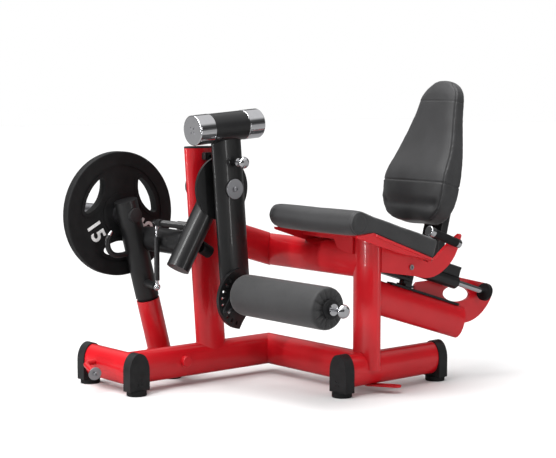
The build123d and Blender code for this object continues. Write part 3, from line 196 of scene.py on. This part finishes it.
def two_finishes(name, axis, at, below, above):
    """Paint on one side of a plane across the piece and bright metal on the other.

    below and above are (colour, metallic, roughness) on the low and high side of at."""
    mat, tree, bsdf = new_material(name)
    where = coords(tree)
    split = tree.nodes.new("ShaderNodeSeparateXYZ")
    tree.links.new(where, split.inputs["Vector"])
    side = tree.nodes.new("ShaderNodeMapRange")
    side.inputs["From Min"].default_value = at - 0.0003
    side.inputs["From Max"].default_value = at + 0.0003
    tree.links.new(split.outputs[axis], side.inputs["Value"])
    mask = side.outputs["Result"]
    grime = noise(tree, where, 90.0, 5.0)
    tinted = tree.nodes.new("ShaderNodeMix")
    tinted.data_type = "RGBA"
    tree.links.new(mask, tinted.inputs["Factor"])
    for slot, finish in (("A", below), ("B", above)):
        paler = tuple(min(1.0, c * 1.25) for c in finish[0])
        colours = [socket for socket in tinted.inputs if socket.type == "RGBA" and socket.name == slot]
        tree.links.new(ramp(tree, grime, ((0.3, finish[0]), (0.7, paler))), colours[0])
    tree.links.new(tinted.outputs[2], bsdf.inputs["Base Color"])
    tree.links.new(span(tree, mask, below[1], above[1]), bsdf.inputs["Metallic"])
    rough = add(tree, span(tree, mask, below[2], above[2]), span(tree, grime, -0.03, 0.03))
    tree.links.new(rough, bsdf.inputs["Roughness"])
    bump(tree, bsdf, noise(tree, where, 900.0, 3.0), 0.08, 0.0002)
    return mat


PAINTED = ((0.012, 0.012, 0.013), 0.0, 0.42)
BRIGHT = ((0.60, 0.60, 0.62), 1.0, 0.08)
PALE = ((0.42, 0.42, 0.44), 1.0, 0.30)
horn_low, horn_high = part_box("weight_horn")
crank_low, crank_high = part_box("roller_crank")
cylinder_low, cylinder_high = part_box("gas_spring_cylinder")
for node, axis, at, below, above in (
        ("weight_horn", "X", horn_high.x - 0.030, PALE, PAINTED),
        ("roller_crank", "X", crank_high.x - 0.0085, PAINTED, BRIGHT),
        ("gas_spring_cylinder", "Z", cylinder_low.z + 0.0352, BRIGHT, PAINTED)):
    nodes[node].data.materials[0] = two_finishes(node + "_finish", axis, at, below, above)


# ---------------------------------------------------------------- mesh helpers
def link(name, mesh, material):
    obj = bpy.data.objects.new(name, mesh)
    scene.collection.objects.link(obj)
    mesh.materials.clear()
    mesh.materials.append(material)
    for poly in mesh.polygons:
        poly.use_smooth = True
    return obj


def points_of(mesh):
    co = np.empty(len(mesh.vertices) * 3)
    mesh.vertices.foreach_get("co", co)
    return co.reshape(-1, 3)


def normals_of(mesh):
    vec = np.empty(len(mesh.vertices) * 3)
    mesh.vertices.foreach_get("normal", vec)
    return vec.reshape(-1, 3)


def set_points(mesh, co):
    mesh.vertices.foreach_set("co", np.asarray(co, dtype=float).ravel())
    mesh.update()


def applied(obj):
    """obj's mesh with its modifiers applied, which are then removed."""
    bpy.context.view_layer.update()
    graph = bpy.context.evaluated_depsgraph_get()
    mesh = bpy.data.meshes.new_from_object(obj.evaluated_get(graph))
    old = obj.data
    obj.modifiers.clear()
    obj.data = mesh
    bpy.data.meshes.remove(old)
    for poly in mesh.polygons:
        poly.use_smooth = True
    return mesh


def neighbours(mesh):
    pairs = np.empty(len(mesh.edges) * 2, dtype=np.int64)
    mesh.edges.foreach_get("vertices", pairs)
    return pairs.reshape(-1, 2)


def evened(mesh, field, rounds, weight=0.5):
    """field (one vector a vertex) averaged over the mesh's edges, rounds times."""
    pairs = neighbours(mesh)
    count = np.bincount(pairs.ravel(), minlength=len(field)).astype(float)
    count = np.maximum(count, 1)[:, None]
    for _ in range(rounds):
        total = np.zeros_like(field)
        np.add.at(total, pairs[:, 0], field[pairs[:, 1]])
        np.add.at(total, pairs[:, 1], field[pairs[:, 0]])
        field = field + weight * (total / count - field)
    return field


def relax(mesh, rounds):
    set_points(mesh, evened(mesh, points_of(mesh), rounds))


SIM_FRAMES = 20
PUCKER_ROUNDS = 30
EVEN_ROUNDS, SETTLE_ROUNDS = 7, 2


def stuffed(node, name, material, voxel, shrink, cap, held, tilt=0.0):
    """Stuffed cover over the space of a CAD solid. held(points, normals) marks what lies on a board.

    tilt turns the even mesh's grid about X until it lies along the board."""
    level = Matrix.Rotation(tilt, 4, "X")
    obj = link(name, nodes[node].data.copy(), material)
    obj.data.transform(level.inverted())
    remesh = obj.modifiers.new("even", "REMESH")
    remesh.mode = "VOXEL"
    remesh.voxel_size = voxel
    mesh = applied(obj)
    mesh.transform(level)
    relax(mesh, EVEN_ROUNDS)
    start = points_of(mesh)
    normal = normals_of(mesh)
    flat = held(start, normal)
    start = start - normal * (shrink * (1 - flat))[:, None]
    set_points(mesh, start)
    cloth = obj.modifiers.new("cloth", "CLOTH")
    cloth.settings.quality = 5
    cloth.settings.mass = 0.3
    cloth.settings.use_pressure = True
    cloth.settings.uniform_pressure_force = 4.0
    cloth.settings.tension_stiffness = 25
    cloth.settings.compression_stiffness = 25
    cloth.settings.effector_weights.gravity = 0
    cloth.point_cache.frame_start = 1
    cloth.point_cache.frame_end = SIM_FRAMES
    for number in range(1, SIM_FRAMES + 1):
        scene.frame_set(number)
    mesh = applied(obj)
    scene.frame_set(1)
    move = points_of(mesh) - start
    size = np.linalg.norm(move, axis=1)
    scale = np.minimum(1.0, cap / np.maximum(size, 1e-9)) * (1 - flat)
    # the cover is tight, so the swelling is spread evenly and leaves no puckers
    set_points(mesh, start + evened(mesh, move * scale[:, None], PUCKER_ROUNDS))
    relax(mesh, SETTLE_ROUNDS)
    mesh.materials.clear()
    mesh.materials.append(material)
    return obj


def subdivided(obj, material):
    """One smooth subdivision, applied."""
    sub = obj.modifiers.new("smooth", "SUBSURF")
    sub.levels = sub.render_levels = 1
    mesh = applied(obj)
    mesh.materials.clear()
    mesh.materials.append(material)
    return mesh


def groove(mesh, distance, depth, width):
    """Presses a seam where distance (metres from its line, one number a vertex) is small."""
    co = points_of(mesh)
    normal = normals_of(mesh)
    fall = depth * np.exp(-((distance / width) ** 2))
    set_points(mesh, co - normal * fall[:, None])


# ---------------------------------------------------------------- seat cushion
SEAT_SLOPE = radians(20.4)
END_SEAM_IN = 0.017
ROLL_BACK, ROLL_DOWN, ROLL_SEAM_R = 0.042, 0.041, 0.030
BOARD_START = 0.075
seat_low, seat_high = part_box("seat_pad")
seat_up = np.array([0.0, sin(SEAT_SLOPE), cos(SEAT_SLOPE)])


def on_board(co, normal):
    return np.clip((-(normal @ seat_up) - 0.6) / 0.3, 0, 1) * (co[:, 1] > seat_low.y + BOARD_START)


seat = stuffed("seat_pad", "seat_cushion", VINYL, 0.006, 0.0030, 0.0060, on_board, -SEAT_SLOPE)
seat_mesh = subdivided(seat, VINYL)
co = points_of(seat_mesh)
facing = normals_of(seat_mesh)
# the side panel's seam runs round each end, just in from the corner
end_in = np.minimum(co[:, 0] - seat_low.x, seat_high.x - co[:, 0])
groove(seat_mesh, end_in - END_SEAM_IN, 0.0022, 0.0020)
# a seam across each side panel closes the front roll
roll_y, roll_z = seat_low.y + ROLL_BACK, seat_high.z - ROLL_DOWN
round_roll = np.hypot(co[:, 1] - roll_y, co[:, 2] - roll_z) - ROLL_SEAM_R
on_side = (np.abs(facing[:, 0]) > 0.7) & (co[:, 1] > roll_y - 0.031)
groove(seat_mesh, np.where(on_side, round_roll, 1.0), 0.0016, 0.0022)
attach(seat, "frame")
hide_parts("seat_pad")

# ---------------------------------------------------------------- back cushion
LEAN = radians(15.2)
LUMBAR_SHARE, CREASE_SHARE, CROWN_SHARE = 0.268, 0.118, 0.845
PANEL_SEAM_IN = 0.0065
FOLD_DEPTH, FOLD_WIDTH = 0.0085, 0.018
back_low, back_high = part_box("back_pad")
back_up = np.array([0.0, sin(LEAN), cos(LEAN)])
back_out = np.array([0.0, -cos(LEAN), sin(LEAN)])
back_mid_x = 0.5 * (back_low.x + back_high.x)


def on_back_board(co, normal):
    return np.clip((-(normal @ back_out) - 0.6) / 0.3, 0, 1)


def edge_distance(across, height):
    """Distance (metres) of each vertex from the pad's outline, seen from the front."""
    bins = np.linspace(height.min(), height.max(), 70)
    middle = 0.5 * (bins[1:] + bins[:-1])
    half = np.array([np.abs(across[(height >= low) & (height < high)]).max(initial=0.0)
                     for low, high in zip(bins[:-1], bins[1:])])
    half = np.convolve(np.pad(half, 2, mode="edge"), np.ones(5) / 5, mode="valid")
    slope = np.gradient(half, middle)
    width = np.interp(height, middle, half)
    steep = np.interp(height, middle, slope)
    return (width - np.abs(across)) / np.sqrt(1 + steep ** 2)


back = stuffed("back_pad", "back_cushion", VINYL, 0.0055, 0.0015, 0.009, on_back_board, -LEAN)
back_mesh = subdivided(back, VINYL)
co = points_of(back_mesh)
facing = normals_of(back_mesh)
height = co @ back_up
foot, top = height.min(), height.max()
lumbar_at = foot + LUMBAR_SHARE * (top - foot)
crease_at = foot + CREASE_SHARE * (top - foot)
crown_at = foot + CROWN_SHARE * (top - foot)
frontal = facing @ back_out
edge = edge_distance(co[:, 0] - back_mid_x, height)
# a soft fold under the lumbar roll, on the front panel only
inside = np.clip((edge - 0.006) / 0.02, 0, 1) * np.clip(frontal * 2, 0, 1)
fold = FOLD_DEPTH * np.exp(-(((height - crease_at) / FOLD_WIDTH) ** 2)) * inside
set_points(back_mesh, co - back_out * fold[:, None])
facing = normals_of(back_mesh)
groove(back_mesh, height - lumbar_at, 0.0034, 0.0026)
groove(back_mesh, np.where(frontal > -0.5, height - crown_at, 1.0), 0.0016, 0.0020)
groove(back_mesh, np.where(frontal > 0.15, edge - PANEL_SEAM_IN, 1.0), 0.0036, 0.0026)
# the lumbar panel is a darker hide
back_mesh.materials.append(DARK_VINYL)
dark = (height < lumbar_at) & (edge > PANEL_SEAM_IN) & (frontal > 0.2)
for poly in back_mesh.polygons:
    if all(dark[i] for i in poly.vertices):
        poly.material_index = 1
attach(back, "backrest")
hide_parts("back_pad")

# ---------------------------------------------------------------- ankle roller
PLEATS, PLEAT_DEPTH = 14, 0.0042
roller_low, roller_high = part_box("roller_foam")


def no_board(co, normal):
    return np.zeros(len(co))


foam = stuffed("roller_foam", "ankle_roller", FOAM, 0.006, 0.001, 0.001, no_board)
foam_mesh = subdivided(foam, FOAM)
# the cover is gathered over each end in narrow pleats that run in to the end washer
co = points_of(foam_mesh)
facing = normals_of(foam_mesh)
roller_mid = 0.5 * (roller_low + roller_high)
out_y, out_z = co[:, 1] - roller_mid.y, co[:, 2] - roller_mid.z
reach = np.hypot(out_y, out_z)
turn = np.arctan2(out_z, out_y)
pleat = (0.5 + 0.5 * np.cos(PLEATS * turn + 0.7 * np.sin(3 * turn))) ** 4
pleat *= np.clip((reach - 0.028) / 0.008, 0, 1) * np.clip((0.068 - reach) / 0.014, 0, 1)
outer = np.sign(co[:, 0] - roller_mid.x) * (np.abs(facing[:, 0]) > 0.25)
co[:, 0] -= PLEAT_DEPTH * pleat * outer
set_points(foam_mesh, co)
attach(foam, "roller")
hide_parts("roller_foam")

# ---------------------------------------------------------------- numerals on the weight plate
NUMERAL_RADIUS, NUMERAL_SIZE = 0.120, 0.078
plate_low, plate_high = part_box("weight_plate")
plate_y, plate_z = 0.5 * (plate_low.y + plate_high.y), 0.5 * (plate_low.z + plate_high.z)
WHITE, white_tree, white_bsdf = new_material("numeral_paint")
white_where = coords(white_tree)
white_tree.links.new(ramp(white_tree, noise(white_tree, white_where, 120.0, 5.0),
                          ((0.25, (0.62, 0.62, 0.62)), (0.6, (0.80, 0.80, 0.79)))),
                     white_bsdf.inputs["Base Color"])
white_bsdf.inputs["Roughness"].default_value = 0.5
bump(white_tree, white_bsdf, noise(white_tree, white_where, 900.0, 3.0), 0.2, 0.0003)


def numeral(name, text, angle, radius, size):
    """Raised numeral on the plate's +X face, read with its head towards the hub."""
    curve = bpy.data.curves.new(name + "_text", "FONT")
    curve.body = text
    curve.size = size
    curve.extrude = 0.0012
    curve.bevel_depth = 0.0003
    curve.align_x = "CENTER"
    curve.align_y = "CENTER"
    curve.offset = 0.0013
    curve.space_character = 1.0
    holder = bpy.data.objects.new(name + "_tmp", curve)
    scene.collection.objects.link(holder)
    bpy.context.view_layer.update()
    mesh = bpy.data.meshes.new_from_object(holder.evaluated_get(bpy.context.evaluated_depsgraph_get()))
    bpy.data.objects.remove(holder)
    flat = Matrix(((0, 0, 1, plate_high.x - 0.0029), (1, 0, 0, plate_y), (0, 1, 0, plate_z), (0, 0, 0, 1)))
    turn = Matrix.Rotation(radians(angle) + pi / 2, 4, "Z")
    mesh.transform(flat @ turn @ Matrix.Translation((0, -radius, 0)))
    obj = link(name, mesh, WHITE)
    for poly in mesh.polygons:
        poly.use_smooth = False
    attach(obj, "plate")


numeral("numeral_left", "15", 208, NUMERAL_RADIUS, NUMERAL_SIZE)
numeral("numeral_right", "15", 328, NUMERAL_RADIUS, NUMERAL_SIZE)

# ---------------------------------------------------------------- studio
FLOOR, floor_tree, floor_bsdf = new_material("studio_floor")
floor_bsdf.inputs["Roughness"].default_value = 0.85
floor_bsdf.inputs["Specular IOR Level"].default_value = 0.1
floor_mirrored = floor_tree.nodes.new("ShaderNodeLightPath").outputs["Is Glossy Ray"]
floor_tree.links.new(ramp(floor_tree, floor_mirrored, ((0.0, (0.74, 0.74, 0.74)), (1.0, (0.26, 0.26, 0.26)))),
                     floor_bsdf.inputs["Base Color"])
floor_mesh = bpy.data.meshes.new("floor")
floor_mesh.from_pydata([(-30, -30, 0), (30, -30, 0), (30, 30, 0), (-30, 30, 0)], [], [(0, 1, 2, 3)])
floor = link("studio_floor", floor_mesh, FLOOR)

world = bpy.data.worlds.new("studio") if scene.world is None else scene.world
scene.world = world
world.use_nodes = True
sky = world.node_tree
sky.nodes["Background"].inputs["Color"].default_value = (1, 1, 1, 1)
# white to the camera; as a light it is a dark room under a bright ceiling, which models the metal
direction = sky.nodes.new("ShaderNodeTexCoord").outputs["Generated"]
split = sky.nodes.new("ShaderNodeSeparateXYZ")
sky.links.new(direction, split.inputs["Vector"])
room = ramp(sky, split.outputs["Z"], ((0.0, (0.16, 0.16, 0.16)), (0.16, (0.04, 0.04, 0.04)),
                                      (0.42, (0.10, 0.10, 0.10)), (0.62, (0.75, 0.75, 0.75))))
seen = sky.nodes.new("ShaderNodeLightPath").outputs["Is Camera Ray"]
backdrop = sky.nodes.new("ShaderNodeMix")
backdrop.data_type = "FLOAT"
backdrop.inputs[3].default_value = 1.0
sky.links.new(seen, backdrop.inputs["Factor"])
sky.links.new(room, backdrop.inputs[2])
sky.links.new(backdrop.outputs[0], sky.nodes["Background"].inputs["Strength"])
scene.view_settings.view_transform = "Standard"


def soft_light(name, at, target, width, height, power):
    data = bpy.data.lights.new(name, "AREA")
    data.shape = "RECTANGLE"
    data.size, data.size_y = width, height
    data.energy = power
    obj = bpy.data.objects.new(name, data)
    obj.location = at
    obj.rotation_euler = (Vector(target) - Vector(at)).to_track_quat("-Z", "Y").to_euler()
    scene.collection.objects.link(obj)


soft_light("key", (0.8, -4.5, 3.8), (0, 0, 0.4), 1.4, 1.4, 110)
soft_light("strip_left", (-1.05, -2.95, 0.9), (0.15, 0, 0.5), 0.10, 2.8, 48)
soft_light("strip_right", (3.4, 0.6, 1.1), (0.2, 0, 0.5), 0.3, 2.4, 22)

overhead_data = bpy.data.lights.new("overhead", "SUN")
overhead_data.energy = 3.1
overhead_data.angle = radians(50)
overhead = bpy.data.objects.new("overhead", overhead_data)
overhead.rotation_euler = (radians(12), radians(-8), 0)
scene.collection.objects.link(overhead)

# ---------------------------------------------------------------- camera
AZIMUTH, ELEVATION = radians(50.0), radians(5.5)
camera_data = bpy.data.cameras.new("camera")
camera_data.sensor_width = 36.0
camera_data.lens = 94.66
camera_data.clip_end = 100.0
camera = bpy.data.objects.new("camera", camera_data)
camera.location = (3.9425, -3.322, 1.023)
look = Vector((-sin(AZIMUTH) * cos(ELEVATION), cos(AZIMUTH) * cos(ELEVATION), -sin(ELEVATION)))
camera.rotation_euler = look.to_track_quat("-Z", "Y").to_euler()
scene.collection.objects.link(camera)
scene.camera = camera
